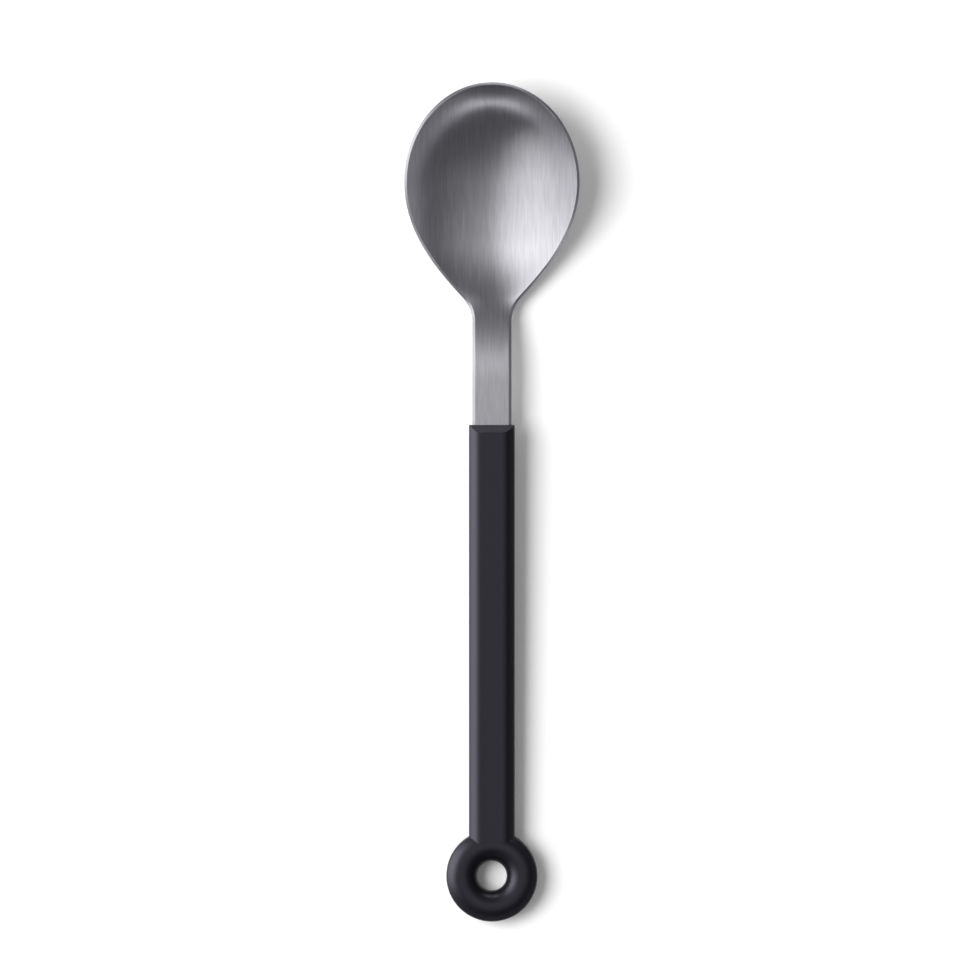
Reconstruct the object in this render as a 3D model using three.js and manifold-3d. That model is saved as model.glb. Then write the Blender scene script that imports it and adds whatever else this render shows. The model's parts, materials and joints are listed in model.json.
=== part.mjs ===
// Tablespoon: a stamped stainless steel head bonded into a moulded plastic handle with a hanging ring.
// Millimetres. +Y runs along the spoon to the tip of the bowl, +X is to its right and +Z is up.
// It is modelled along the axis of its handle, with y = 0 at the front face of the handle, and is
// then laid down on its bowl and its ring.

import * as THREE from 'three';
import { mergeVertices } from 'three/addons/utils/BufferGeometryUtils.js';
import Module from 'manifold-3d';

const wasm = await Module();
wasm.setup();

// Plan of the head
const BOWL_WIDTH = 42;
const NOSE_LENGTH = 23.9; // from the widest line of the bowl to its tip
const FLANK_LENGTH = 27.7; // from the fillet at the neck to the widest line
const FLANK_ANGLE = THREE.MathUtils.degToRad(43.2); // between the end of the flank and the spoon's axis
const FLANK_FULLNESS = 0.43; // reach of the flank curve's handle at the widest line, per flank length
const FLANK_STRAIGHTNESS = 0.325; // reach of its handle at the fillet, per flank length
const ROOT_FILLET = 8.3; // radius in plan, where the flank meets the neck
const NECK_WIDTH = 9.4;
const NECK_LENGTH = 24.8; // straight sides, from the handle to the fillet

// Heights of the head, above the axis of the handle
const TIP_RISE = 6.6; // rim at the tip
const RIM_RISE = 5.25; // rim at the widest line
const RIM_SLOPE = 0.11; // climb of the rim towards the tip, at the widest line
const BOWL_DEPTH = 11.1; // rim to inside floor, at the widest line
const FLOOR_DROP = 6.45; // lowest point of the inside floor, below the axis
const FLOOR_SETBACK = 9.8; // that point, back from the widest line
const NECK_FLAT = 9; // length of neck in line with the handle, before it bends down to the bowl
const ROOT_HOLLOW = 0.7; // depth of the hollow where the fillet ends; it starts where the fillet does
const ROOT_HOLLOW_SLOPE = 0.41; // its deepening there, along the spoon
const NOSE_ROUND = 0.48; // share of a plain round bowl in the nose; the rest stands up as a steeper wall
const NOSE_POWER = 1.5; // how late that wall stands up

// Sheet of the head
const NECK_THICKNESS = 2;
const BOWL_THICKNESS = 0.9; // floor of the bowl
const RIM_WIDTH = 0.9; // ground flat on top of the rim
const RIM_EDGE = 0.6; // upright edge outside it

// Tang
const TANG_LENGTH = 70; // behind the front face of the handle
const TANG_WIDTH = 6.4;
const TANG_THICKNESS = 1.8;
const TANG_LAP = 3; // length of tang that runs into the neck
const NOTCH_RADIUS = 1;
const NOTCH_COUNT = 3; // on each edge
const NOTCH_PITCH = 18; // also the distance of the first one from the front face

// Handle
const BAR_WIDTH = 11;
const BEVEL_RUN = 2; // long edges, across the bar
const BEVEL_DROP = 1.65; // long edges and front end, through the bar
const FRONT_RUN = 1.8; // front end, along the bar
const RING_REACH = 108.4; // front face to the centre of the ring
const RING_TUBE = 7.4; // thickness of the ring, and width of its section
const RING_HOLE = 7.1;
const RING_CROWN = 0.05; // the ring stands this much above the flats of the bar, and falls as much below

// Fits
const CLEARANCE = 0.3; // between pieces that are bonded or seated
const BOND_WIDTH = 0.6; // adhesive beside the tang
const BOND_END = 2; // adhesive behind the tang
const BOND_SETBACK = 1; // adhesive starts this far inside the mouth of the socket

// Fineness of the round stretches
const NOSE_STEPS = 16;
const FLANK_STEPS = 14;
const FILLET_STEPS = 6;
const NECK_STEPS = 10;
const COLUMNS = 24; // across the head
const RING_STEPS = 56;
const TUBE_STEPS = 12; // round half of the ring's section
const NOTCH_STEPS = 20;

const neckHalf = NECK_WIDTH / 2;
const bowlHalf = BOWL_WIDTH / 2;
const filletEndY = NECK_LENGTH + ROOT_FILLET * Math.sin(FLANK_ANGLE);
const filletEndX = neckHalf + ROOT_FILLET * (1 - Math.cos(FLANK_ANGLE));
const widestY = filletEndY + FLANK_LENGTH;
const tipY = widestY + NOSE_LENGTH;
const floorY = widestY - FLOOR_SETBACK;
const ringRadius = (RING_HOLE + RING_TUBE) / 2;
const barThickness = RING_TUBE - 2 * RING_CROWN;
const barWall = barThickness / 2 - BEVEL_DROP;
const socketWidth = TANG_WIDTH + 2 * (BOND_WIDTH + 2 * CLEARANCE);
const socketHeight = TANG_THICKNESS + 2 * CLEARANCE;
const socketDepth = TANG_LENGTH + BOND_END + 2 * CLEARANCE;

// A closed geometry as a solid that can be joined and cut
function solidOf(geometry) {
  const bare = geometry.index ? geometry.clone() : geometry;
  bare.deleteAttribute('normal');
  bare.deleteAttribute('uv');
  const merged = mergeVertices(bare, 1e-5);
  const corners = [];
  for (let i = 0; i < merged.index.count; i += 3) {
    const [a, b, c] = [0, 1, 2].map((k) => merged.index.getX(i + k));
    if (a !== b && b !== c && c !== a) corners.push(a, b, c);
  }
  return new wasm.Manifold(new wasm.Mesh({
    numProp: 3,
    vertProperties: new Float32Array(merged.attributes.position.array),
    triVerts: new Uint32Array(corners),
  }));
}

// A solid back as a geometry
function geometryOf(solid) {
  const mesh = solid.getMesh();
  const geometry = new THREE.BufferGeometry();
  geometry.setAttribute('position', new THREE.BufferAttribute(new Float32Array(mesh.vertProperties), 3));
  geometry.setIndex(new THREE.BufferAttribute(new Uint32Array(mesh.triVerts), 1));
  geometry.computeVertexNormals();
  return geometry;
}

// A straight prism: an outline of [u, v] points, drawn on the axes u and v and carried along their cross
function prism(outline, length, u, v) {
  const shape = new THREE.Shape(outline.map(([a, b]) => new THREE.Vector2(a, b)));
  const geometry = new THREE.ExtrudeGeometry(shape, { depth: length, bevelEnabled: false });
  geometry.translate(0, 0, -length / 2);
  const along = new THREE.Vector3().crossVectors(u, v);
  return solidOf(geometry.applyMatrix4(new THREE.Matrix4().makeBasis(u, v, along)));
}

// A box between two corners
function box(low, high) {
  const size = high.map((value, k) => value - low[k]);
  const geometry = new THREE.BoxGeometry(...size);
  geometry.translate(...low.map((value, k) => value + size[k] / 2));
  return solidOf(geometry);
}

// An upright cylinder about the middle height of the spoon
function post(radius, height, x, y, steps) {
  const geometry = new THREE.CylinderGeometry(radius, radius, height, steps);
  geometry.rotateX(Math.PI / 2);
  geometry.translate(x, y, 0);
  return solidOf(geometry);
}

// Height on a smooth curve through knots of [y, height, slope]
function heightOn(knots, y) {
  const end = knots.findIndex((knot) => y <= knot[0]);
  if (end === 0) return knots[0][1];
  const [y0, z0, slope0] = knots[end < 0 ? knots.length - 2 : end - 1];
  const [y1, z1, slope1] = knots[end < 0 ? knots.length - 1 : end];
  const span = y1 - y0;
  const t = Math.min((y - y0) / span, 1);
  const rise = t * t * (3 - 2 * t);
  const start = t * (1 - t) * (1 - t) * span * slope0;
  const finish = t * t * (t - 1) * span * slope1;
  return z0 + (z1 - z0) * rise + start + finish;
}

// The right half of the head's outline, from the tip to the shoulder at the handle
function outlineStations() {
  const widest = new THREE.Vector2(bowlHalf, widestY);
  const filletEnd = new THREE.Vector2(filletEndX, filletEndY);
  const fullHandle = new THREE.Vector2(bowlHalf, widestY - FLANK_FULLNESS * FLANK_LENGTH);
  const straightReach = FLANK_STRAIGHTNESS * FLANK_LENGTH;
  const straightHandle = new THREE.Vector2(Math.sin(FLANK_ANGLE), Math.cos(FLANK_ANGLE));
  straightHandle.multiplyScalar(straightReach).add(filletEnd);
  const neckEnd = new THREE.Vector2(neckHalf, NECK_LENGTH);
  const shoulder = new THREE.Vector2(neckHalf, CLEARANCE);
  const filletX = neckHalf + ROOT_FILLET;
  const filletStart = Math.PI - FLANK_ANGLE;
  const runs = [
    [new THREE.EllipseCurve(0, widestY, bowlHalf, NOSE_LENGTH, Math.PI / 2, 0, true), NOSE_STEPS],
    [new THREE.CubicBezierCurve(widest, fullHandle, straightHandle, filletEnd), FLANK_STEPS],
    [new THREE.EllipseCurve(filletX, NECK_LENGTH, ROOT_FILLET, ROOT_FILLET, filletStart, Math.PI), FILLET_STEPS],
    [new THREE.LineCurve(neckEnd, shoulder), NECK_STEPS],
  ];
  const stations = [];
  for (const [curve, steps] of runs) {
    for (let i = stations.length ? 1 : 0; i <= steps; i += 1) {
      const edge = curve.getPoint(i / steps);
      const tangent = curve.getTangent(i / steps);
      const inner = new THREE.Vector2(tangent.y, -tangent.x).multiplyScalar(RIM_WIDTH).add(edge);
      stations.push({ edge, inner });
    }
  }
  stations[0].edge.x = 0;
  stations[0].inner.x = 0;
  return stations;
}

// Floor line from the lowest point to the widest line, depth of the hollow from the neck to the widest
// line, and rim line from there to the tip
const floorKnots = [
  [floorY, -FLOOR_DROP, 0],
  [widestY, RIM_RISE - BOWL_DEPTH, RIM_SLOPE],
];
const hollowKnots = [
  [NECK_LENGTH, 0, 0],
  [filletEndY, ROOT_HOLLOW, ROOT_HOLLOW_SLOPE],
  [widestY, BOWL_DEPTH, 0],
];
const noseRimKnots = [
  [widestY, RIM_RISE, RIM_SLOPE],
  [tipY, TIP_RISE, 0],
];

// The neck bends down to the lowest point of the floor in one even curve
function floorHeightAt(y) {
  if (y > floorY) return heightOn(floorKnots, y);
  const bend = THREE.MathUtils.smootherstep(y, NECK_FLAT, floorY);
  return THREE.MathUtils.lerp(NECK_THICKNESS / 2, -FLOOR_DROP, bend);
}

function rimHeightAt(y) {
  if (y > widestY) return heightOn(noseRimKnots, y);
  return floorHeightAt(y) + heightOn(hollowKnots, y);
}

// Depth below the rim line at x across a section of half width half, inside or outside the sheet
function depthAt(x, y, half, fullHalf, extra) {
  if (y > widestY) {
    const across = (x / fullHalf) ** 2;
    const along = Math.max(1 - (half / fullHalf) ** 2, 0);
    const steepness = NOSE_ROUND + (1 - NOSE_ROUND) * (across + along) ** NOSE_POWER;
    return (BOWL_DEPTH + extra) * (1 - across - along * steepness);
  }
  return (heightOn(hollowKnots, y) + extra) * (1 - (x / half) ** 2);
}

// Bowl and neck: rows of points across the head, on top of the sheet and below it
function bowlAndNeck() {
  const rows = outlineStations().map(({ edge, inner }) => {
    const thinning = THREE.MathUtils.smoothstep(edge.y, NECK_FLAT, floorY);
    const edgeHeight = THREE.MathUtils.lerp(NECK_THICKNESS, RIM_EDGE, thinning);
    const thickness = THREE.MathUtils.lerp(NECK_THICKNESS, BOWL_THICKNESS, thinning);
    const rimHeight = rimHeightAt(edge.y);
    const innerRim = rimHeightAt(inner.y);
    const top = [new THREE.Vector3(-edge.x, edge.y, rimHeight)];
    const bottom = [];
    for (let j = 1; j < COLUMNS; j += 1) {
      const x = inner.x * (-1 + (2 * (j - 1)) / (COLUMNS - 2));
      const depth = depthAt(x, inner.y, inner.x, bowlHalf - RIM_WIDTH, 0);
      top.push(new THREE.Vector3(x, inner.y, innerRim - depth));
    }
    top.push(new THREE.Vector3(edge.x, edge.y, rimHeight));
    for (let j = 0; j <= COLUMNS; j += 1) {
      const x = edge.x * (-1 + (2 * j) / COLUMNS);
      const depth = depthAt(x, edge.y, edge.x, bowlHalf, thickness - edgeHeight);
      bottom.push(new THREE.Vector3(x, edge.y, rimHeight - edgeHeight - depth));
    }
    return { top, bottom };
  });

  const points = [];
  const corners = [];
  const perRow = COLUMNS + 1;
  for (const { top, bottom } of rows) points.push(...top, ...bottom);
  const topAt = (i, j) => 2 * perRow * i + j;
  const bottomAt = (i, j) => topAt(i, j) + perRow;
  const quad = (a, b, c, d) => corners.push(a, b, c, a, c, d);
  for (let i = 0; i < rows.length - 1; i += 1) {
    for (let j = 0; j < COLUMNS; j += 1) {
      quad(topAt(i, j), topAt(i + 1, j), topAt(i + 1, j + 1), topAt(i, j + 1));
      quad(bottomAt(i, j), bottomAt(i, j + 1), bottomAt(i + 1, j + 1), bottomAt(i + 1, j));
    }
    quad(topAt(i, COLUMNS), topAt(i + 1, COLUMNS), bottomAt(i + 1, COLUMNS), bottomAt(i, COLUMNS));
    quad(topAt(i, 0), bottomAt(i, 0), bottomAt(i + 1, 0), topAt(i + 1, 0));
  }
  const last = rows.length - 1;
  for (let j = 0; j < COLUMNS; j += 1) {
    quad(topAt(last, j), bottomAt(last, j), bottomAt(last, j + 1), topAt(last, j + 1));
  }
  const geometry = new THREE.BufferGeometry().setFromPoints(points);
  geometry.setIndex(corners);
  return solidOf(geometry);
}

// Tang, or the space that it needs when it is grown by a clearance
function tang(growth, height) {
  const half = TANG_WIDTH / 2 + growth;
  let solid = box([-half, -TANG_LENGTH - growth, -height / 2], [half, CLEARANCE + TANG_LAP, height / 2]);
  for (const side of [-1, 1]) {
    for (let i = 1; i <= NOTCH_COUNT; i += 1) {
      const x = side * TANG_WIDTH / 2;
      const notch = post(NOTCH_RADIUS - growth, 2 * height, x, -i * NOTCH_PITCH, NOTCH_STEPS);
      solid = solid.subtract(notch);
    }
  }
  return solid;
}

function makeSpoonHead() {
  return geometryOf(bowlAndNeck().add(tang(0, TANG_THICKNESS)));
}

// The ring, turned from its section: round about the hole, and bevelled outside as the bar is
function ringAtEnd() {
  const crown = RING_TUBE / 2;
  const outer = ringRadius + crown;
  const shoulder = crown - 2 * RING_CROWN;
  const section = [];
  for (let i = 0; i <= TUBE_STEPS; i += 1) {
    const angle = Math.PI * (0.5 + i / TUBE_STEPS);
    section.push([ringRadius + crown * Math.cos(angle), crown * Math.sin(angle)]);
  }
  section.push([outer - BEVEL_RUN, -shoulder], [outer, -barWall]);
  section.push([outer, barWall], [outer - BEVEL_RUN, shoulder], section[0]);
  const points = section.map(([distance, height]) => new THREE.Vector2(distance, height));
  const geometry = new THREE.LatheGeometry(points, RING_STEPS);
  geometry.rotateX(Math.PI / 2);
  geometry.translate(0, -RING_REACH, 0);
  return solidOf(geometry);
}

// Bar and ring in one moulding, with a blind socket for the tang
function makeHandle() {
  const half = BAR_WIDTH / 2;
  const top = barThickness / 2;
  const flat = half - BEVEL_RUN;
  const section = [
    [half, -barWall], [half, barWall], [flat, top], [-flat, top],
    [-half, barWall], [-half, -barWall], [-flat, -top], [flat, -top],
  ];
  const side = [
    [-RING_REACH, -top], [-FRONT_RUN, -top], [0, -barWall],
    [0, barWall], [-FRONT_RUN, top], [-RING_REACH, top],
  ];
  const xAxis = new THREE.Vector3(1, 0, 0);
  const yAxis = new THREE.Vector3(0, 1, 0);
  const zAxis = new THREE.Vector3(0, 0, 1);
  const bar = prism(section, 2 * RING_REACH, xAxis, zAxis).intersect(prism(side, BAR_WIDTH, yAxis, zAxis));
  const ringSpace = post(ringRadius, 2 * RING_TUBE, 0, -RING_REACH, RING_STEPS);
  const socket = box(
    [-socketWidth / 2, -socketDepth, -socketHeight / 2],
    [socketWidth / 2, FRONT_RUN, socketHeight / 2],
  );
  return geometryOf(bar.subtract(ringSpace).add(ringAtEnd()).subtract(socket));
}

// What is left of the socket round the tang
function makeTangAdhesive() {
  const half = socketWidth / 2 - CLEARANCE;
  const height = socketHeight - 2 * CLEARANCE;
  const fill = box([-half, CLEARANCE - socketDepth, -height / 2], [half, -BOND_SETBACK, height / 2]);
  return geometryOf(fill.subtract(tang(CLEARANCE, 2 * height)));
}

const brushedSteel = new THREE.MeshStandardMaterial({ color: 0x9a9aa0, roughness: 0.35, metalness: 1 });
const blackPlastic = new THREE.MeshStandardMaterial({ color: 0x29292c, roughness: 0.6, metalness: 0 });
const curedEpoxy = new THREE.MeshStandardMaterial({ color: 0xc9b98a, roughness: 0.45, metalness: 0 });

function named(name, geometry, material) {
  const mesh = new THREE.Mesh(geometry, material);
  mesh.name = name;
  return mesh;
}

const head = named('spoon_head', makeSpoonHead(), brushedSteel);
const handle = named('handle', makeHandle(), blackPlastic);
const adhesive = named('tang_adhesive', makeTangAdhesive(), curedEpoxy);

// Lowest height of a piece when the spoon is tilted about its X axis
function lowest(mesh, tilt) {
  const position = mesh.geometry.attributes.position;
  let low = Infinity;
  for (let i = 0; i < position.count; i += 1) {
    low = Math.min(low, position.getY(i) * Math.sin(tilt) + position.getZ(i) * Math.cos(tilt));
  }
  return low;
}

// Tilt at which the bowl and the ring both touch the table, found by halving
function restingTilt() {
  let low = -Math.PI / 8;
  let high = Math.PI / 8;
  for (let i = 0; i < 40; i += 1) {
    const middle = (low + high) / 2;
    if (lowest(head, middle) < lowest(handle, middle)) low = middle;
    else high = middle;
  }
  return (low + high) / 2;
}

const tablespoon = new THREE.Group();
tablespoon.add(head, handle, adhesive);
tablespoon.rotation.x = restingTilt();
tablespoon.updateMatrixWorld(true);
const extent = new THREE.Box3().setFromObject(tablespoon, true);
tablespoon.position.set(0, -(extent.min.y + extent.max.y) / 2, -extent.min.z);
tablespoon.updateMatrixWorld(true);

export default tablespoon;
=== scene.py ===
# %% [markdown]
# A tablespoon, dressed over its solids
#
# The real spoon is two pieces bonded together: a head stamped from stainless steel sheet, brushed along
# its length, and a black moulded plastic handle that ends in a hanging ring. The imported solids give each
# piece its place and size. This lesson remakes the two pieces that show, with the soft edges and the
# finishes of the real ones, and then lights and photographs them from straight above.

# %% Load the solids
import json
import math

import bmesh
import bpy
import numpy as np
from mathutils import Matrix, Vector
from mathutils.geometry import interpolate_bezier


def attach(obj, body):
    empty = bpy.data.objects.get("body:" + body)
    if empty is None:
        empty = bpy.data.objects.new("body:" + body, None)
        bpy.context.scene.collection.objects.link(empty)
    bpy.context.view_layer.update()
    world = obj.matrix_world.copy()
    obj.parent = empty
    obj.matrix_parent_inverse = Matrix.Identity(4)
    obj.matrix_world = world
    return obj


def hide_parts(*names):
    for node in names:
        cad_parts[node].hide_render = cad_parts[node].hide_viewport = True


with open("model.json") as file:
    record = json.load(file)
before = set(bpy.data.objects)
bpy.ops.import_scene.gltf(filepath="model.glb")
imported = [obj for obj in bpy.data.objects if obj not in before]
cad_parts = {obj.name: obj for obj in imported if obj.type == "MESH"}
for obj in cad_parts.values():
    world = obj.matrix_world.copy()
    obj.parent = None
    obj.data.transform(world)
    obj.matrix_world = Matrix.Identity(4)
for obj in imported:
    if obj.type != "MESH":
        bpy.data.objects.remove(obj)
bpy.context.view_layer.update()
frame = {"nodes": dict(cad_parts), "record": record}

scene = bpy.context.scene
print("solids:", sorted(frame["nodes"]))

# %% [markdown]
# Where the spoon lies
#
# A spoon is easiest to draw along the axis of its handle, in millimetres, with y = 0 at the front face of
# the handle and +Y towards the tip of the bowl. On the table it rests on its bowl and its ring, a little
# tilted. The record says where the flat underside of the handle ended up and which way it faces, so one
# matrix from there lays down everything that is drawn along the axis.

# %% One matrix from the drawing to the table
MM = 0.001
BAR_THICKNESS = 7.3
UNDERSIDE_Y = -60  # where the record's point is, along the axis of the handle

underside = frame["record"]["mounts"][0]
facing = Vector(underside["axis"])
tilt = math.atan2(facing.y, -facing.z)
lay_down = (
    Matrix.Translation(underside["pos_m"])
    @ Matrix.Rotation(tilt, 4, "X")
    @ Matrix.Scale(MM, 4)
    @ Matrix.Translation((0, -UNDERSIDE_Y, BAR_THICKNESS / 2))
)
print(f"the spoon lies tilted by {math.degrees(tilt):.2f} degrees")

# %% A bmesh becomes a piece
def make_piece(name, bm, materials, node):
    """Lays the drawing down, makes it an object at the origin and hides the solid that it stands for."""
    bmesh.ops.transform(bm, matrix=lay_down, verts=bm.verts)
    for face in bm.faces:
        face.smooth = True
    mesh = bpy.data.meshes.new(name)
    bm.to_mesh(mesh)
    bm.free()
    for material in materials:
        mesh.materials.append(material)
    piece = bpy.data.objects.new(name, mesh)
    scene.collection.objects.link(piece)
    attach(piece, "root")
    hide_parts(node)
    print(f"{name}: {len(mesh.polygons)} faces before its modifiers")
    return piece

# %% [markdown]
# Colours and nodes
#
# Colours are written as the hex values that a paint program shows, and turned to the linear values that
# Blender's shaders use. Every material below is a small tree of nodes, so one function starts a material
# with an empty tree, and one adds a node with its settings, its values and its links.

# %% Helpers for materials
def linear(hex_colour):
    """A hex colour as linear red, green, blue and alpha."""
    channels = [int(hex_colour[i : i + 2], 16) / 255 for i in (1, 3, 5)]
    return (*[c / 12.92 if c <= 0.04045 else ((c + 0.055) / 1.055) ** 2.4 for c in channels], 1)


def add_node(tree, kind, values=None, links=None, **settings):
    """Adds a node: settings are its own properties, values set its sockets and links feed them."""
    made = tree.nodes.new(kind)
    for name, setting in settings.items():
        setattr(made, name, setting)
    for socket, value in (values or {}).items():
        made.inputs[socket].default_value = value
    for socket, source in (links or {}).items():
        tree.links.new(source, made.inputs[socket])
    return made


def start_material(name):
    """An empty node material and its tree."""
    material = bpy.data.materials.new(name)
    material.use_nodes = True
    material.node_tree.nodes.clear()
    return material, material.node_tree

# %% [markdown]
# The plan of the steel head
#
# Seen from above, the head is a straight neck, a fillet, a long curved flank and a nose that is a quarter
# of an ellipse. Those four runs could be drawn by hand as a curve object, but the same few dimensions
# have to shape the hollow too, so the outline is worked out once as points from the handle to the tip.

# %% Outline of the right half, from the shoulder at the handle to the tip
BOWL_HALF = 21
NOSE_LENGTH = 23.9  # from the widest line to the tip
FLANK_LENGTH = 27.7  # from the fillet to the widest line
FLANK_ANGLE = math.radians(43.2)  # between the end of the flank and the spoon's axis
FLANK_FULLNESS = 0.43  # reach of the flank's handle at the widest line, per flank length
FLANK_STRAIGHTNESS = 0.325  # reach of its handle at the fillet, per flank length
ROOT_FILLET = 8.3
NECK_HALF = 4.7
NECK_LENGTH = 24.8
SHOULDER_Y = 0.02  # the shoulder is pushed home against the front face

NECK_ROWS, FILLET_ROWS, FLANK_ROWS, NOSE_ROWS = 24, 10, 48, 48
ROWS = NECK_ROWS + FILLET_ROWS + FLANK_ROWS + NOSE_ROWS

fillet_end = Vector((
    NECK_HALF + ROOT_FILLET * (1 - math.cos(FLANK_ANGLE)),
    NECK_LENGTH + ROOT_FILLET * math.sin(FLANK_ANGLE),
))
WIDEST_Y = fillet_end.y + FLANK_LENGTH
TIP_Y = WIDEST_Y + NOSE_LENGTH


def outline_points():
    """Points on the right edge of the head, in plan."""
    neck = [Vector((NECK_HALF, y)) for y in np.linspace(SHOULDER_Y, NECK_LENGTH, NECK_ROWS + 1)]
    fillet = [
        Vector((NECK_HALF + ROOT_FILLET * (1 - math.cos(a)), NECK_LENGTH + ROOT_FILLET * math.sin(a)))
        for a in np.linspace(0, FLANK_ANGLE, FILLET_ROWS + 1)
    ]
    out_along = Vector((math.sin(FLANK_ANGLE), math.cos(FLANK_ANGLE)))
    widest = Vector((BOWL_HALF, WIDEST_Y))
    flank = interpolate_bezier(
        fillet_end,
        fillet_end + FLANK_STRAIGHTNESS * FLANK_LENGTH * out_along,
        widest - Vector((0, FLANK_FULLNESS * FLANK_LENGTH)),
        widest,
        FLANK_ROWS + 1,
    )
    nose = [
        Vector((BOWL_HALF * math.cos(a), WIDEST_Y + NOSE_LENGTH * math.sin(a)))
        for a in np.linspace(0, math.pi / 2, NOSE_ROWS + 1)
    ]
    return neck[:-1] + fillet[:-1] + [Vector(p[:2]) for p in flank[:-1]] + nose


outline = outline_points()
print(f"outline: {len(outline)} points, {2 * max(p.x for p in outline):.1f} mm wide")

# %% [markdown]
# The heights of the steel head
#
# From the side, the neck leaves the handle level, bends down into the bowl and rises again to the tip.
# Three smooth lines say so: the floor along the middle of the spoon, the depth of the hollow below the
# rim, and the rim round the nose. They could be drawn as curves, but a function of y can be asked for any
# height. The sheet is full thickness at the neck and is drawn thinner in the bowl.

# %% Floor, hollow and rim
NECK_SHEET = 2
BOWL_SHEET = 0.9
NECK_FLAT = 9  # length of neck in line with the handle
FLOOR_SETBACK = 9.8  # lowest point of the floor, back from the widest line
FLOOR_DROP = 6.45  # and its depth below the handle's axis
BOWL_DEPTH = 11.1  # rim to floor, at the widest line
ROOT_HOLLOW = 0.7  # depth of the hollow where the fillet ends
ROOT_HOLLOW_SLOPE = 0.41  # and its deepening there
WIDEST_RIM = 5.25
TIP_RIM = 6.6
RIM_SLOPE = 0.11  # climb of the rim at the widest line
FLOOR_Y = WIDEST_Y - FLOOR_SETBACK

# Knots of y, height above the handle's axis or depth below the rim, and slope
FLOOR_KNOTS = [(FLOOR_Y, -FLOOR_DROP, 0), (WIDEST_Y, WIDEST_RIM - BOWL_DEPTH, RIM_SLOPE)]
HOLLOW_KNOTS = [
    (NECK_LENGTH, 0, 0), (fillet_end.y, ROOT_HOLLOW, ROOT_HOLLOW_SLOPE), (WIDEST_Y, BOWL_DEPTH, 0),
]
NOSE_RIM_KNOTS = [(WIDEST_Y, WIDEST_RIM, RIM_SLOPE), (TIP_Y, TIP_RIM, 0)]


def height_on(knots, y):
    """Height on the smooth line through the knots."""
    if y <= knots[0][0]:
        return knots[0][1]
    for (y0, z0, slope0), (y1, z1, slope1) in zip(knots, knots[1:]):
        if y <= y1:
            break
    span = y1 - y0
    t = min((y - y0) / span, 1)
    blend = t * t * (3 - 2 * t)
    return z0 + (z1 - z0) * blend + span * t * (1 - t) * ((1 - t) * slope0 - t * slope1)


def floor_height(y):
    """Height of the floor line: the neck bends down to its lowest point in one even curve."""
    if y > FLOOR_Y:
        return height_on(FLOOR_KNOTS, y)
    t = max((y - NECK_FLAT) / (FLOOR_Y - NECK_FLAT), 0)
    bend = t ** 3 * (10 - 15 * t + 6 * t * t)
    return NECK_SHEET / 2 * (1 - bend) - FLOOR_DROP * bend


def middle_depth(y):
    """Depth of the hollow below the rim line, on the middle of the spoon."""
    return height_on(HOLLOW_KNOTS, y)


def rim_height(y):
    """Height of the rim line."""
    if y > WIDEST_Y:
        return height_on(NOSE_RIM_KNOTS, y)
    return floor_height(y) + middle_depth(y)


print(f"the floor lies {FLOOR_DROP} mm below the axis, and the rim rises {TIP_RIM} mm above it at the tip")

# %% [markdown]
# The upper face of the sheet
#
# The steel could be a block that is carved, but it is a sheet on the real spoon and it is easiest to model
# as one: a flat grid, pulled to the outline row by row and pressed down by the hollow. All round its edge a
# narrow flat has been ground, which falls a little outwards. It is what makes the rim bright on one side
# and dark on the other, so the outermost column of faces is kept for it.

# %% The ground flat along the edge
RIM_FLAT = 0.6  # width of the ground flat
RIM_TILT = math.radians(32)
RIM_FALL = RIM_FLAT * math.tan(RIM_TILT)
NOSE_ROUND = 0.48  # share of a plain round bowl in the nose, where the rest stands up as a steeper wall
NOSE_POWER = 1.5  # how late that wall stands up


def moved_in(points, width):
    """A line of points in plan, moved towards the inside of the spoon."""
    moved = []
    for i, point in enumerate(points):
        along = points[min(i + 1, len(points) - 1)] - points[max(i - 1, 0)]
        moved.append(point + Vector((-along.y, along.x)).normalized() * width)
    moved[-1].x = 0
    return moved


rim_line = moved_in(outline, RIM_FLAT)
rim_ys = [point.y for point in rim_line]
rim_xs = [point.x for point in rim_line]
RIM_HALF = rim_line[ROWS - NOSE_ROWS].x
print(f"the flat falls {RIM_FALL:.2f} mm outwards, and the hollow is {2 * RIM_HALF:.1f} mm wide")

# %% The hollow, as a depth below the rim line
def sheet_height(x, y):
    """Height of the upper face: a parabola across the spoon, and a steeper wall round the nose."""
    half = np.interp(y, rim_ys, rim_xs)
    if y > WIDEST_Y:
        across = (x / RIM_HALF) ** 2
        along = 1 - (half / RIM_HALF) ** 2
        rise = across + along * (NOSE_ROUND + (1 - NOSE_ROUND) * (across + along) ** NOSE_POWER)
    else:
        rise = (x / half) ** 2
    return rim_height(y) - middle_depth(y) * (1 - rise)

# %% Grid pulled to the outline and pressed to shape
COLUMNS = 64
NEAR = 1e-4  # points closer than this, in millimetres, are one point

head = bmesh.new()
bmesh.ops.create_grid(head, x_segments=COLUMNS, y_segments=ROWS, size=1)
for vert in head.verts:
    column = round((vert.co.x + 1) / 2 * COLUMNS)
    row = round((vert.co.y + 1) / 2 * ROWS)
    if column in (0, COLUMNS):
        edge = outline[row]
        vert.co = (math.copysign(edge.x, vert.co.x), edge.y, rim_height(edge.y) - RIM_FALL)
    else:
        x, y = rim_line[row].x * (2 * (column - 1) / (COLUMNS - 2) - 1), rim_line[row].y
        vert.co = (x, y, sheet_height(x, y))
bmesh.ops.remove_doubles(head, verts=head.verts, dist=NEAR)
for edge in head.edges:
    if edge.is_boundary and max(vert.co.y for vert in edge.verts) > SHOULDER_Y + NEAR:
        edge.link_faces[0].material_index = 1
print(f"upper face: {len(head.faces)} faces")

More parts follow.
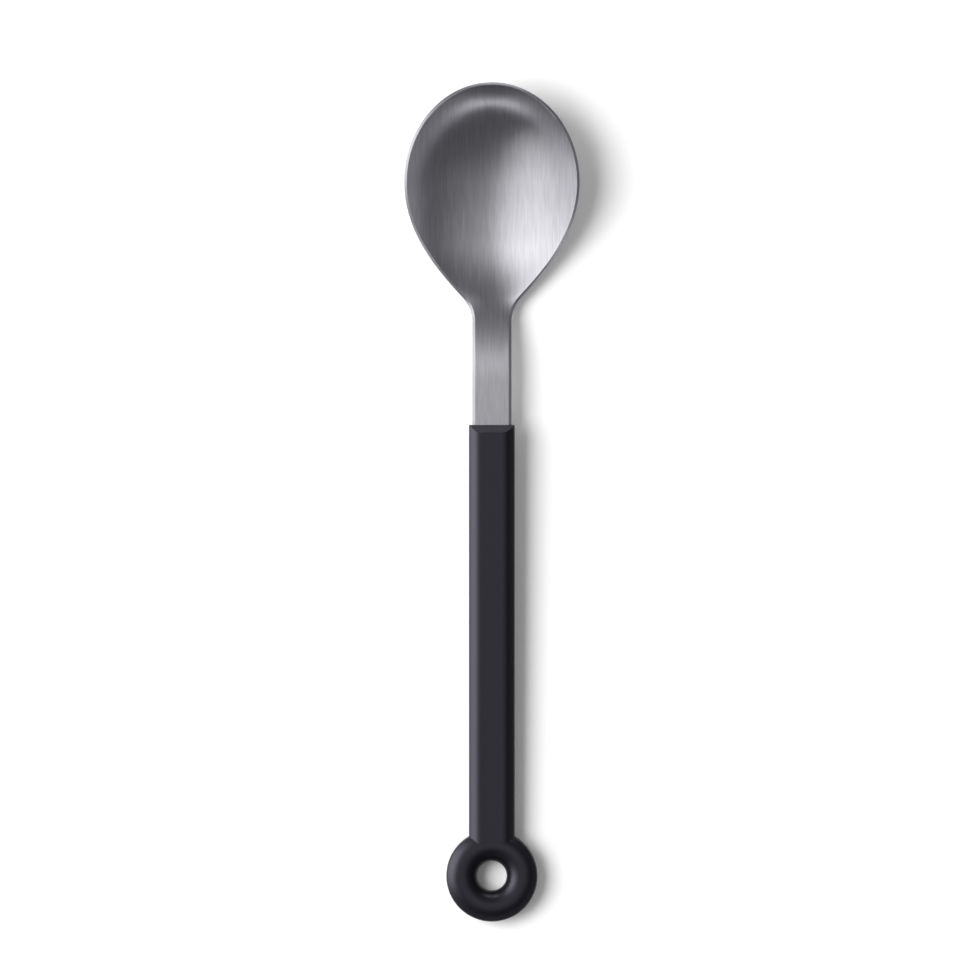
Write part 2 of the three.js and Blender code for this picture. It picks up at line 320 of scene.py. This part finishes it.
# %% [markdown]
# The tang
#
# Behind the neck the sheet runs on into the handle as a tang, with round notches along both edges that key
# the bond. It hardly shows, but the head is one piece of steel, so the tang is extruded from the middle of
# the shoulder and cut into fine rows. It stays wide just inside the mouth of the socket, so that no light
# shows past it. Behind that it is narrowed, and at the notches once more, by the equation of a circle.

# %% Tang extruded from the shoulder
TANG_HALF = 3.2
TANG_LENGTH = 70
TANG_SHEET = 1.8
NOTCH_RADIUS = 1
NOTCH_YS = (-18, -36, -54)
TANG_ROWS = 140
ROOT_HALF = 4.2  # the sheet stays this wide just inside the mouth of the socket
ROOT_LENGTH = 0.6

shoulder = [
    edge for edge in head.edges
    if edge.is_boundary
    and all(abs(v.co.y - SHOULDER_Y) < NEAR and abs(v.co.x) < ROOT_HALF for v in edge.verts)
]
reach = max(abs(v.co.x) for edge in shoulder for v in edge.verts)
pulled = bmesh.ops.extrude_edge_only(head, edges=shoulder)["geom"]
end_verts = [item for item in pulled if isinstance(item, bmesh.types.BMVert)]
bmesh.ops.translate(head, verts=end_verts, vec=(0, -TANG_LENGTH - SHOULDER_Y, 0))
long_edges = [edge for edge in head.edges if edge.calc_length() > TANG_LENGTH]
bmesh.ops.subdivide_edges(head, edges=long_edges, cuts=TANG_ROWS - 1, use_grid_fill=True)
for vert in head.verts:
    if vert.co.y < -ROOT_LENGTH:
        nearest = min(abs(vert.co.y - y) for y in NOTCH_YS)
        bite = math.sqrt(max(NOTCH_RADIUS ** 2 - nearest ** 2, 0))
        vert.co.x *= (TANG_HALF - bite) / reach
        vert.co.z = TANG_SHEET / 2
bmesh.ops.recalc_face_normals(head, faces=head.faces)
if sum(face.normal.z for face in head.faces) < 0:
    bmesh.ops.reverse_faces(head, faces=head.faces)
print(f"with the tang: {len(head.faces)} faces, {TANG_ROWS} rows in the tang")

# %% Which way the sheet is brushed
PLAN_SCALE = 0.01  # of the sheet's plan as a UV map, where only its directions count

brushed_plan = head.loops.layers.uv.new("brushed_plan")
for face in head.faces:
    for loop in face.loops:
        loop[brushed_plan].uv = loop.vert.co.xy * PLAN_SCALE
print(f"UV maps: {head.loops.layers.uv.keys()}")

# %% [markdown]
# The thickness of the sheet
#
# A Solidify modifier would make the sheet thick along its normals, and would tilt the narrow edge. The edge
# of the real one is upright all round, so the whole face is extruded and its copy is lowered, further where
# the wall is steep, so that the sheet has its thickness square to the wall.

# %% Extruded straight down
def sheet_thickness(y):
    """Thickness of the steel, from the neck to the bowl."""
    t = min(max((y - NECK_FLAT) / (FLOOR_Y - NECK_FLAT), 0), 1)
    return NECK_SHEET + (BOWL_SHEET - NECK_SHEET) * t * t * (3 - 2 * t)


def drop_below(vert):
    """How far under a point of the upper face the underside is."""
    if vert.co.y < -ROOT_LENGTH:
        return TANG_SHEET
    if vert.is_boundary:
        return vert.co.z - rim_height(vert.co.y) + sheet_thickness(vert.co.y)
    return sheet_thickness(vert.co.y) / vert.normal.z


head.normal_update()
drop = head.verts.layers.float.new("drop")
for vert in head.verts:
    vert[drop] = drop_below(vert)
pulled = bmesh.ops.extrude_face_region(head, geom=head.faces[:])["geom"]
lower = {item for item in pulled if isinstance(item, bmesh.types.BMVert)}
for vert in lower:
    vert.co.z -= vert[drop]
head.verts.layers.float.remove(drop)
bmesh.ops.recalc_face_normals(head, faces=head.faces)
for face in head.faces:
    if 0 < sum(vert in lower for vert in face.verts) < len(face.verts):
        face.material_index = 1
print(f"sheet: {len(head.faces)} faces, open edges {sum(not e.is_manifold for e in head.edges)}")

# %% [markdown]
# Brushed stainless steel
#
# An abrasive belt has run along the spoon, inside the bowl as well as on the neck. The scratches are far
# too fine to see one by one; what shows is that highlights smear across the brushing, and faint streaks
# along it. The smear is the shader's anisotropy, with its tangent taken across the spoon from the plan of
# the sheet. The streaks are a noise stretched along the spoon, mostly in the colour, with a little in the
# roughness and a low bump: more in the roughness would speckle the dark parts of the bowl. Real scratches
# are some hundredths of a millimetre wide, so the streaks are drawn coarser to show.

# %% Brushed stainless steel
STREAK_WIDTH = 0.35 * MM
STREAK_LENGTH = 7 * MM
COLOUR_A, COLOUR_B, COLOUR_OUT = 6, 7, 2  # sockets of a Mix node that mixes colours

brushed_steel, tree = start_material("brushed_stainless_steel")
place = add_node(tree, "ShaderNodeTexCoord")
stretch = add_node(
    tree, "ShaderNodeMapping",
    values={"Scale": (1 / STREAK_WIDTH, 1 / STREAK_LENGTH, 1 / STREAK_LENGTH)},
    links={"Vector": place.outputs["Object"]},
)
streaks = add_node(
    tree, "ShaderNodeTexNoise",
    values={"Scale": 1, "Detail": 2},
    links={"Vector": stretch.outputs["Vector"]},
)
streak_range = add_node(
    tree, "ShaderNodeMapRange",
    values={"From Min": 0.3, "From Max": 0.7},
    links={"Value": streaks.outputs["Fac"]},
)
streak_shade = add_node(
    tree, "ShaderNodeMix", data_type="RGBA",
    values={COLOUR_A: linear("#b3b2b7"), COLOUR_B: linear("#c3c2c7")},
    links={0: streak_range.outputs["Result"]},
)
streak_gloss = add_node(
    tree, "ShaderNodeMapRange",
    values={"To Min": 0.3, "To Max": 0.315},
    links={"Value": streak_range.outputs["Result"]},
)
scratches = add_node(
    tree, "ShaderNodeBump",
    values={"Strength": 0.08, "Distance": 0.02 * MM},
    links={"Height": streaks.outputs["Fac"]},
)
across = add_node(tree, "ShaderNodeTangent", direction_type="UV_MAP", uv_map="brushed_plan")
steel = add_node(
    tree, "ShaderNodeBsdfPrincipled",
    values={"Metallic": 1, "Anisotropic": 0.5},
    links={
        "Base Color": streak_shade.outputs[COLOUR_OUT],
        "Roughness": streak_gloss.outputs["Result"],
        "Normal": scratches.outputs["Normal"],
        "Tangent": across.outputs["Tangent"],
    },
)
add_node(tree, "ShaderNodeOutputMaterial", links={"Surface": steel.outputs["BSDF"]})
print(f"{brushed_steel.name}: {len(tree.nodes)} nodes")

# %% [markdown]
# The ground edge
#
# The cut edge of the sheet has been ground and buffed all round, across the direction of the brushing, so
# it has its own finish: the same steel, smoother, with its highlights the same in every direction and
# only a faint grain left by the wheel.

# %% Buffed edge steel
WHEEL_GRAIN = 0.4 * MM

edge_steel, tree = start_material("buffed_edge_steel")
place = add_node(tree, "ShaderNodeTexCoord")
grain = add_node(
    tree, "ShaderNodeTexNoise",
    values={"Scale": 1 / WHEEL_GRAIN, "Detail": 2},
    links={"Vector": place.outputs["Object"]},
)
grain_gloss = add_node(
    tree, "ShaderNodeMapRange",
    values={"To Min": 0.3, "To Max": 0.4},
    links={"Value": grain.outputs["Fac"]},
)
steel = add_node(
    tree, "ShaderNodeBsdfPrincipled",
    values={"Base Color": linear("#b0afb4"), "Metallic": 1},
    links={"Roughness": grain_gloss.outputs["Result"]},
)
add_node(tree, "ShaderNodeOutputMaterial", links={"Surface": steel.outputs["BSDF"]})
print(f"{edge_steel.name}: {len(tree.nodes)} nodes")

# %% [markdown]
# Soft edges
#
# Every sharp edge of the real head has been broken on the buffing wheel. The edges could be picked and
# rounded one by one, but a Bevel modifier finds those that are left sharp by their angle. Weighted Normal
# then keeps the broad faces true beside the small ones.

# %% The steel head
EDGE_ROUND = 0.15
SHARP = math.radians(40)

steel_head = make_piece("steel_head", head, [brushed_steel, edge_steel], "spoon_head")
rounding = steel_head.modifiers.new("edge", "BEVEL")
rounding.width = EDGE_ROUND * MM
rounding.segments = 3
rounding.limit_method = "ANGLE"
rounding.angle_limit = SHARP
steel_head.modifiers.new("normals", "WEIGHTED_NORMAL").keep_sharp = True

# %% [markdown]
# The bar of the handle
#
# The bar is an eight-sided prism: a flat on top and below, narrow sides, and four long bevels between.
# It could be a cube with its edges bevelled, but those bevels are wider than they are deep, so it starts
# as an eight-sided circle whose corners are moved to the section, and is extruded along the spoon. The
# mould's own edges are soft, so the long edges are rounded before the front end is cut to its hip.

# %% Rounding of edges
def round_edges(bm, edges, offset, segments):
    """Rounds edges of a bmesh over by an offset to each side."""
    bmesh.ops.bevel(
        bm, geom=edges, offset=offset, offset_type="OFFSET", affect="EDGES",
        segments=segments, profile=0.5, material=-1,
    )

# %% Section and long edges
BAR_HALF = 5.5
BEVEL_RUN = 2
BEVEL_DROP = 1.65
RING_REACH = 108.4  # front face to the centre of the ring
BAR_STOP = 6.9  # the bar ends this far before that centre, hidden inside the ring
FLAT_ROUND = 1.0
SIDE_ROUND = 0.5
ROUND_STEPS = 6
bar_end = BAR_STOP - RING_REACH
bar_top = BAR_THICKNESS / 2
bar_wall = bar_top - BEVEL_DROP
bar_flat = BAR_HALF - BEVEL_RUN

bar = bmesh.new()
upright = Matrix.Rotation(math.radians(90), 4, "X") @ Matrix.Rotation(math.radians(22.5), 4, "Z")
bmesh.ops.create_circle(bar, cap_ends=True, segments=8, radius=1, matrix=upright)
for vert in bar.verts:
    on_side = abs(vert.co.x) > abs(vert.co.z)
    corner = (BAR_HALF, bar_wall) if on_side else (bar_flat, bar_top)
    vert.co = (math.copysign(corner[0], vert.co.x), bar_end, math.copysign(corner[1], vert.co.z))
pulled = bmesh.ops.extrude_face_region(bar, geom=bar.faces[:])["geom"]
front = [item for item in pulled if isinstance(item, bmesh.types.BMVert)]
bmesh.ops.translate(bar, verts=front, vec=(0, -bar_end, 0))
for limit, offset in ((bar_flat, FLAT_ROUND), (BAR_HALF, SIDE_ROUND)):
    long_edges = [
        edge for edge in bar.edges
        if edge.calc_length() > RING_REACH / 2 and all(abs(abs(v.co.x) - limit) < NEAR for v in edge.verts)
    ]
    round_edges(bar, long_edges, offset, ROUND_STEPS)
print(f"bar: {len(bar.faces)} faces with its long edges rounded")

# %% Hip at the front end
FRONT_RUN = 1.8
FRONT_ROUND = 0.1
FRONT_ROUND_STEPS = 3
FOLD = math.radians(18)  # edges that turn more than this are edges of the hip

for side in (1, -1):
    cut = bmesh.ops.bisect_plane(
        bar, geom=bar.verts[:] + bar.edges[:] + bar.faces[:], clear_outer=True,
        plane_co=(0, 0, side * bar_wall), plane_no=(0, BEVEL_DROP, side * FRONT_RUN),
    )["geom_cut"]
    bmesh.ops.holes_fill(bar, edges=[item for item in cut if isinstance(item, bmesh.types.BMEdge)])
bmesh.ops.recalc_face_normals(bar, faces=bar.faces)
front_edges = [
    edge for edge in bar.edges
    if min(v.co.y for v in edge.verts) > -FRONT_RUN - NEAR and edge.calc_face_angle(0) > FOLD
]
round_edges(bar, front_edges, FRONT_ROUND, FRONT_ROUND_STEPS)
print(f"bar: {len(bar.faces)} faces with its hip")

# %% [markdown]
# The ring
#
# The bar's flats and bevels run on round the ring, which is round only towards its hole. A torus would
# miss the bevels, so half a circle and four corners are joined to a section and spun round the ring's
# centre. The ring stands a hair above the bar and falls a hair below it, so that the flats cross without a
# step. The bar's end is hidden inside it, and a Boolean modifier joins the two into one moulding, which a
# second one cuts open at the front for the tang.

# %% Section spun to a ring
RING_TUBE = 7.4  # thickness of the ring, and width of its section
RING_HOLE = 7.1
HALF_ROUND_STEPS = 24
SPIN_STEPS = 128
SPIN_SLACK = 1e-3  # how far the steps of the spin may stray from a true circle
ring_crown = RING_TUBE / 2
ring_radius = RING_HOLE / 2 + ring_crown
ring_outer = ring_radius + ring_crown
ring_bevel = ring_outer - BEVEL_RUN
ring_shoulder = 2 * bar_top - ring_crown

ring = bmesh.new()
upright = Matrix.Translation((ring_radius, -RING_REACH, 0)) @ Matrix.Rotation(math.radians(90), 4, "X")
bmesh.ops.create_circle(ring, segments=2 * HALF_ROUND_STEPS, radius=ring_crown, matrix=upright)
outer_half = [vert for vert in ring.verts if vert.co.x > ring_radius + NEAR]
bmesh.ops.delete(ring, geom=outer_half, context="VERTS")
crowns = sorted((v for v in ring.verts if v.co.x > ring_radius - NEAR), key=lambda v: v.co.z)
corners = [
    ring.verts.new((distance, -RING_REACH, height))
    for distance, height in (
        (ring_bevel, -ring_shoulder), (ring_outer, -bar_wall),
        (ring_outer, bar_wall), (ring_bevel, ring_shoulder),
    )
]
bevels = [crowns[0], *corners, crowns[-1]]
for here, there in zip(bevels, bevels[1:]):
    ring.edges.new((here, there))
bmesh.ops.spin(
    ring, geom=ring.verts[:] + ring.edges[:], cent=(0, -RING_REACH, 0), axis=(0, 0, 1),
    angle=2 * math.pi, steps=SPIN_STEPS, use_merge=True,
)
bmesh.ops.remove_doubles(ring, verts=ring.verts, dist=NEAR)
bmesh.ops.recalc_face_normals(ring, faces=ring.faces)
for limit, offset in ((ring_bevel, FLAT_ROUND), (ring_outer, SIDE_ROUND)):
    circles = [
        edge for edge in ring.edges
        if abs(edge.verts[0].co.z - edge.verts[1].co.z) < NEAR
        and all(abs(math.hypot(v.co.x, v.co.y + RING_REACH) - limit) < SPIN_SLACK for v in edge.verts)
    ]
    round_edges(ring, circles, offset, ROUND_STEPS)
print(f"ring: {len(ring.faces)} faces, {2 * ring_outer:.1f} mm across")

# %% Socket for the tang
SOCKET_WIDTH, SOCKET_HEIGHT, SOCKET_DEPTH = 8.8, 2.4, 72.6

socket = bmesh.new()
bmesh.ops.create_cube(socket, size=1)
bmesh.ops.scale(socket, verts=socket.verts, vec=(SOCKET_WIDTH, SOCKET_DEPTH + FRONT_RUN, SOCKET_HEIGHT))
bmesh.ops.translate(socket, verts=socket.verts, vec=(0, (FRONT_RUN - SOCKET_DEPTH) / 2, 0))
print(f"socket: {SOCKET_DEPTH} mm deep")

# %% Bar, ring and socket become one moulding
def loose_object(name, bm):
    """An object for a Boolean modifier to work with, still in millimetres."""
    mesh = bpy.data.meshes.new(name)
    bm.to_mesh(mesh)
    bm.free()
    made = bpy.data.objects.new(name, mesh)
    scene.collection.objects.link(made)
    return made


bar_object = loose_object("bar", bar)
helpers = [("UNION", loose_object("ring", ring)), ("DIFFERENCE", loose_object("socket", socket))]
for operation, helper in helpers:
    joining = bar_object.modifiers.new(operation, "BOOLEAN")
    joining.operation = operation
    joining.object = helper
    joining.solver = "FAST"
moulded = bpy.data.meshes.new_from_object(bar_object.evaluated_get(bpy.context.evaluated_depsgraph_get()))
handle = bmesh.new()
handle.from_mesh(moulded)
bmesh.ops.remove_doubles(handle, verts=handle.verts, dist=NEAR)
for used in [bar_object] + [helper for _, helper in helpers]:
    bpy.data.objects.remove(used)
print(f"moulding: {len(handle.faces)} faces, open edges {sum(not e.is_manifold for e in handle.edges)}")

# %% [markdown]
# Moulded black plastic
#
# The handle is ABS, moulded in a tool whose surface was finely spark eroded, so it is a satin black
# without a sharp reflection: grey where the light glances off it, nearly black where it does not. The
# texture of the tool is a few hundredths of a millimetre, and is drawn coarser to show at all.

# %% Satin moulded plastic
TOOL_GRAIN = 0.25 * MM

black_plastic, tree = start_material("moulded_black_abs")
place = add_node(tree, "ShaderNodeTexCoord")
grain = add_node(
    tree, "ShaderNodeTexNoise",
    values={"Scale": 1 / TOOL_GRAIN, "Detail": 2},
    links={"Vector": place.outputs["Object"]},
)
grain_gloss = add_node(
    tree, "ShaderNodeMapRange",
    values={"To Min": 0.34, "To Max": 0.42},
    links={"Value": grain.outputs["Fac"]},
)
texture = add_node(
    tree, "ShaderNodeBump",
    values={"Strength": 0.1, "Distance": 0.02 * MM},
    links={"Height": grain.outputs["Fac"]},
)
plastic = add_node(
    tree, "ShaderNodeBsdfPrincipled",
    values={
        "Base Color": linear("#100f14"), "IOR": 1.53, "Specular IOR Level": 0.18,
        "Specular Tint": (0.87, 0.84, 1, 1),
    },
    links={"Roughness": grain_gloss.outputs["Result"], "Normal": texture.outputs["Normal"]},
)
add_node(tree, "ShaderNodeOutputMaterial", links={"Surface": plastic.outputs["BSDF"]})
print(f"{black_plastic.name}: {len(tree.nodes)} nodes")

# %% The handle
CREASE = math.radians(28)

for edge in handle.edges:
    edge.smooth = edge.calc_face_angle(0) < CREASE
moulded_handle = make_piece("moulded_handle", handle, [black_plastic], "handle")
moulded_handle.modifiers.new("normals", "WEIGHTED_NORMAL").keep_sharp = True

# %% [markdown]
# The adhesive
#
# The tang is held by epoxy that cured inside the socket. It is hidden, and its solid has the right shape,
# so the solid stays and only gets a material: amber, glossy, and cloudy where the two parts were mixed.

# %% Cured epoxy
CLOUD = 3 * MM

cured_epoxy, tree = start_material("cured_amber_epoxy")
place = add_node(tree, "ShaderNodeTexCoord")
clouds = add_node(
    tree, "ShaderNodeTexNoise",
    values={"Scale": 1 / CLOUD, "Detail": 3},
    links={"Vector": place.outputs["Object"]},
)
amber = add_node(
    tree, "ShaderNodeMix", data_type="RGBA",
    values={COLOUR_A: linear("#b9a673"), COLOUR_B: linear("#d8caa0")},
    links={0: clouds.outputs["Fac"]},
)
wetness = add_node(
    tree, "ShaderNodeMapRange",
    values={"To Min": 0.15, "To Max": 0.3},
    links={"Value": clouds.outputs["Fac"]},
)
epoxy = add_node(
    tree, "ShaderNodeBsdfPrincipled",
    values={"IOR": 1.55},
    links={"Base Color": amber.outputs[COLOUR_OUT], "Roughness": wetness.outputs["Result"]},
)
add_node(tree, "ShaderNodeOutputMaterial", links={"Surface": epoxy.outputs["BSDF"]})
adhesive = frame["nodes"]["tang_adhesive"]
adhesive.data.materials.clear()
adhesive.data.materials.append(cured_epoxy)
print(f"{cured_epoxy.name}: {len(tree.nodes)} nodes")

# %% [markdown]
# Floor and backdrop
#
# The spoon lies on a white sweep. The lamps alone bring the floor close to white, and a little glow for
# what the camera, metal and glass see brings it the rest of the way, so that the shadow stays. Away from
# the spoon the camera sees plain white, so that no far edge shows. Round the horizon the world is the same
# white, and above it is the dim studio that the steel also mirrors.

# %% White floor
FLOOR_SIZE = 8

floor_mesh = bmesh.new()
bmesh.ops.create_grid(floor_mesh, x_segments=1, y_segments=1, size=FLOOR_SIZE / 2)
floor_data = bpy.data.meshes.new("floor")
floor_mesh.to_mesh(floor_data)
floor_mesh.free()
floor = bpy.data.objects.new("floor", floor_data)
scene.collection.objects.link(floor)
print(f"floor: {FLOOR_SIZE} m square")

# %% White paper, plain white far away
FLOOR_GLOW = 0.05
FADE_START, FADE_END = 0.2, 0.5  # distances from the spoon, between which the sweep turns plain white

white_paper, tree = start_material("white_paper_sweep")
ray = add_node(tree, "ShaderNodeLightPath")
camera_or_gloss = add_node(
    tree, "ShaderNodeMath", operation="MAXIMUM",
    links={0: ray.outputs["Is Camera Ray"], 1: ray.outputs["Is Glossy Ray"]},
)
seen = add_node(
    tree, "ShaderNodeMath", operation="MAXIMUM",
    links={0: camera_or_gloss.outputs[0], 1: ray.outputs["Is Transmission Ray"]},
)
glow = add_node(
    tree, "ShaderNodeMath", operation="MULTIPLY", values={1: FLOOR_GLOW}, links={0: seen.outputs[0]},
)
paper = add_node(
    tree, "ShaderNodeBsdfPrincipled",
    values={
        "Base Color": linear("#fcfcfc"), "Roughness": 1, "Specular IOR Level": 0,
        "Emission Color": (1, 1, 1, 1),
    },
    links={"Emission Strength": glow.outputs[0]},
)
place = add_node(tree, "ShaderNodeTexCoord")
distance = add_node(
    tree, "ShaderNodeVectorMath", operation="LENGTH", links={0: place.outputs["Object"]},
)
far = add_node(
    tree, "ShaderNodeMapRange", interpolation_type="SMOOTHSTEP",
    values={"From Min": FADE_START, "From Max": FADE_END},
    links={"Value": distance.outputs["Value"]},
)
far_seen = add_node(
    tree, "ShaderNodeMath", operation="MULTIPLY",
    links={0: far.outputs["Result"], 1: ray.outputs["Is Camera Ray"]},
)
plain_white = add_node(tree, "ShaderNodeEmission")
sweep = add_node(
    tree, "ShaderNodeMixShader",
    links={0: far_seen.outputs[0], 1: paper.outputs["BSDF"], 2: plain_white.outputs["Emission"]},
)
add_node(tree, "ShaderNodeOutputMaterial", links={"Surface": sweep.outputs["Shader"]})
floor_data.materials.append(white_paper)
print(f"{white_paper.name}: {len(tree.nodes)} nodes")

# %% Dim studio with a white horizon
HORIZON = 0.06  # sine of the height above the horizon where the white sweep ends
FILL_LEVEL = 0.32  # what lights the floor and the plastic
STUDIO_LEVEL = 0.12  # what the steel mirrors above the horizon
LEVEL_A, LEVEL_B, LEVEL_OUT = 2, 3, 0  # sockets of a Mix node that mixes plain numbers

world = bpy.data.worlds.new("studio")
scene.world = world
world.use_nodes = True
tree = world.node_tree
tree.nodes.clear()
ray = add_node(tree, "ShaderNodeLightPath")
mirrored = add_node(
    tree, "ShaderNodeMath", operation="MAXIMUM",
    links={0: ray.outputs["Is Glossy Ray"], 1: ray.outputs["Is Transmission Ray"]},
)
direction = add_node(tree, "ShaderNodeTexCoord")
parts = add_node(tree, "ShaderNodeSeparateXYZ", links={"Vector": direction.outputs["Generated"]})
studio = add_node(
    tree, "ShaderNodeMapRange", interpolation_type="SMOOTHSTEP",
    values={"From Min": HORIZON, "From Max": 2 * HORIZON, "To Min": 1, "To Max": STUDIO_LEVEL},
    links={"Value": parts.outputs["Z"]},
)
unseen = add_node(
    tree, "ShaderNodeMix",
    values={LEVEL_A: FILL_LEVEL},
    links={0: mirrored.outputs[0], LEVEL_B: studio.outputs["Result"]},
)
level = add_node(
    tree, "ShaderNodeMix",
    values={LEVEL_B: 1},
    links={0: ray.outputs["Is Camera Ray"], LEVEL_A: unseen.outputs[LEVEL_OUT]},
)
tint = add_node(
    tree, "ShaderNodeMix", data_type="RGBA",
    values={COLOUR_A: (1, 1, 1, 1), COLOUR_B: linear("#f8f7ff")},
    links={0: mirrored.outputs[0]},
)
background = add_node(
    tree, "ShaderNodeBackground",
    links={"Color": tint.outputs[COLOUR_OUT], "Strength": level.outputs[LEVEL_OUT]},
)
add_node(tree, "ShaderNodeOutputWorld", links={"Surface": background.outputs["Background"]})
print(f"{world.name}: {len(tree.nodes)} nodes")

# %% [markdown]
# Lamps
#
# Two softboxes on the left light the table and give the spoon its soft shadow. They could light the spoon
# too, but bright steel and black plastic need different reflections, as when a photographer lights each
# in turn and joins the exposures. So the table lamps aren't mirrored, and what the spoon mirrors are cards:
# lamps that fade towards their edges, and that light linking shows to one piece alone. The pair for the
# hip of the handle stands on both sides of the spoon's axis, so that the bar has no glare along it.

# %% Softboxes
def fade_out(lamp, core):
    """Lets a lamp fade from the middle share of it, its core, to nothing at its edges."""
    lamp.use_nodes = True
    tree = lamp.node_tree
    tree.nodes.clear()
    place = add_node(tree, "ShaderNodeNewGeometry")
    parts = add_node(tree, "ShaderNodeSeparateXYZ", links={"Vector": place.outputs["Parametric"]})
    fades = []
    for side in ("X", "Y"):
        off_middle = add_node(
            tree, "ShaderNodeMath", operation="SUBTRACT", values={1: 0.5}, links={0: parts.outputs[side]},
        )
        distance = add_node(tree, "ShaderNodeMath", operation="ABSOLUTE", links={0: off_middle.outputs[0]})
        fades.append(add_node(
            tree, "ShaderNodeMapRange",
            values={"From Min": core / 2, "From Max": 0.5, "To Min": 1, "To Max": 0},
            links={"Value": distance.outputs[0]},
        ))
    both = add_node(
        tree, "ShaderNodeMath", operation="MULTIPLY",
        links={0: fades[0].outputs["Result"], 1: fades[1].outputs["Result"]},
    )
    shine = add_node(tree, "ShaderNodeEmission", links={"Strength": both.outputs[0]})
    add_node(tree, "ShaderNodeOutputLight", links={"Surface": shine.outputs["Emission"]})


def softbox(name, lean, swing, distance, width, height, watts, core=0.98, shift=0):
    """An area lamp that faces the spoon, and that the camera doesn't see.

    lean is from the zenith and swing from -X towards +Y, in degrees, and shift is along the spoon.
    """
    lamp = bpy.data.lights.new(name, "AREA")
    lamp.shape = "RECTANGLE"
    lamp.size, lamp.size_y = width, height
    lamp.energy = watts
    fade_out(lamp, core)
    lean, swing = math.radians(lean), math.radians(swing)
    towards = Vector((
        -math.sin(lean) * math.cos(swing), math.sin(lean) * math.sin(swing), math.cos(lean),
    ))
    made = bpy.data.objects.new(name, lamp)
    made.location = towards * distance + Vector((0, shift, 0))
    made.rotation_mode = "QUATERNION"
    made.rotation_quaternion = towards.to_track_quat("Z", "Y")
    made.visible_camera = False
    scene.collection.objects.link(made)
    return made


def reflection_card(piece, name, **place_and_light):
    """A softbox that only shows as a reflection, and only in one piece."""
    card = softbox(name, **place_and_light)
    card.visible_diffuse = False
    shown_in = bpy.data.collections.new(f"{name}_shows_in")
    shown_in.objects.link(piece)
    card.light_linking.receiver_collection = shown_in

# %% Lamps for the table
for table_lamp in (
    softbox("table_key", lean=34, swing=8, distance=2.6, width=1.7, height=1.5, watts=66),
    softbox("table_side", lean=68, swing=10, distance=3.2, width=4.8, height=1.6, watts=40),
):
    table_lamp.visible_glossy = False
    print(f"{table_lamp.name}: {table_lamp.data.energy:.0f} W")

# %% Cards for the steel
LOW_LEAN = 86
LOW_CARDS = (("low_front_card", -90, 1.1), ("low_right_card", -135, 0.6), ("low_left_card", -45, 0.3))

# The left panel and the overhead card fill the bowl and the neck
reflection_card(
    steel_head, "left_panel", lean=62, swing=-12.4, distance=1.5, width=2.75, height=6.0, watts=98,
    core=0.1, shift=0.645,
)
reflection_card(
    steel_head, "overhead_card", lean=10, swing=180, distance=1.5, width=1.7, height=5.2, watts=15,
    core=0, shift=0.26,
)
# Low cards make the arc in the nose, and the tip card brightens the rim at the tip
for name, swing, watts in LOW_CARDS:
    reflection_card(
        steel_head, name, lean=LOW_LEAN, swing=swing, distance=1.6, width=3.2, height=0.25, watts=watts,
        core=0.6,
    )
reflection_card(
    steel_head, "tip_card", lean=66, swing=94, distance=1.6, width=1.6, height=0.4, watts=5.2, core=0.2,
)
print(f"cards for the steel: {3 + len(LOW_CARDS)}")

# %% Cards for the plastic
HIP_SPREAD = 13  # degrees to each side of the spoon's axis

for name, side in (("hip_card_left", -1), ("hip_card_right", 1)):
    reflection_card(
        moulded_handle, name, lean=82, swing=90 + side * HIP_SPREAD, distance=1.6, width=0.2, height=0.5,
        watts=10.5,
    )
reflection_card(
    moulded_handle, "bevel_card", lean=70, swing=10, distance=1.6, width=2.6, height=2.6, watts=240,
    core=0.3,
)
reflection_card(
    moulded_handle, "flat_card", lean=5, swing=180, distance=1.3, width=1.6, height=2.4, watts=37, core=0,
)

# %% [markdown]
# Camera
#
# The photograph looks straight down from far enough away that the sides of the handle hardly show. A long
# lens two metres up gives that, and the small offset centres the frame as the photograph has it.

# %% Camera straight above
CAMERA_HEIGHT = 2.0
CAMERA_OFFSET = (-0.00046, 0.0031)  # from the middle of the spoon
FOCAL_LENGTH = 304.9

camera_data = bpy.data.cameras.new("camera")
camera_data.sensor_width = 36
camera_data.lens = FOCAL_LENGTH
camera = bpy.data.objects.new("camera", camera_data)
camera.location = (*CAMERA_OFFSET, CAMERA_HEIGHT)
scene.collection.objects.link(camera)
scene.camera = camera
scene.view_settings.view_transform = "Standard"
print(f"camera: {math.degrees(camera_data.angle):.2f} degrees wide")
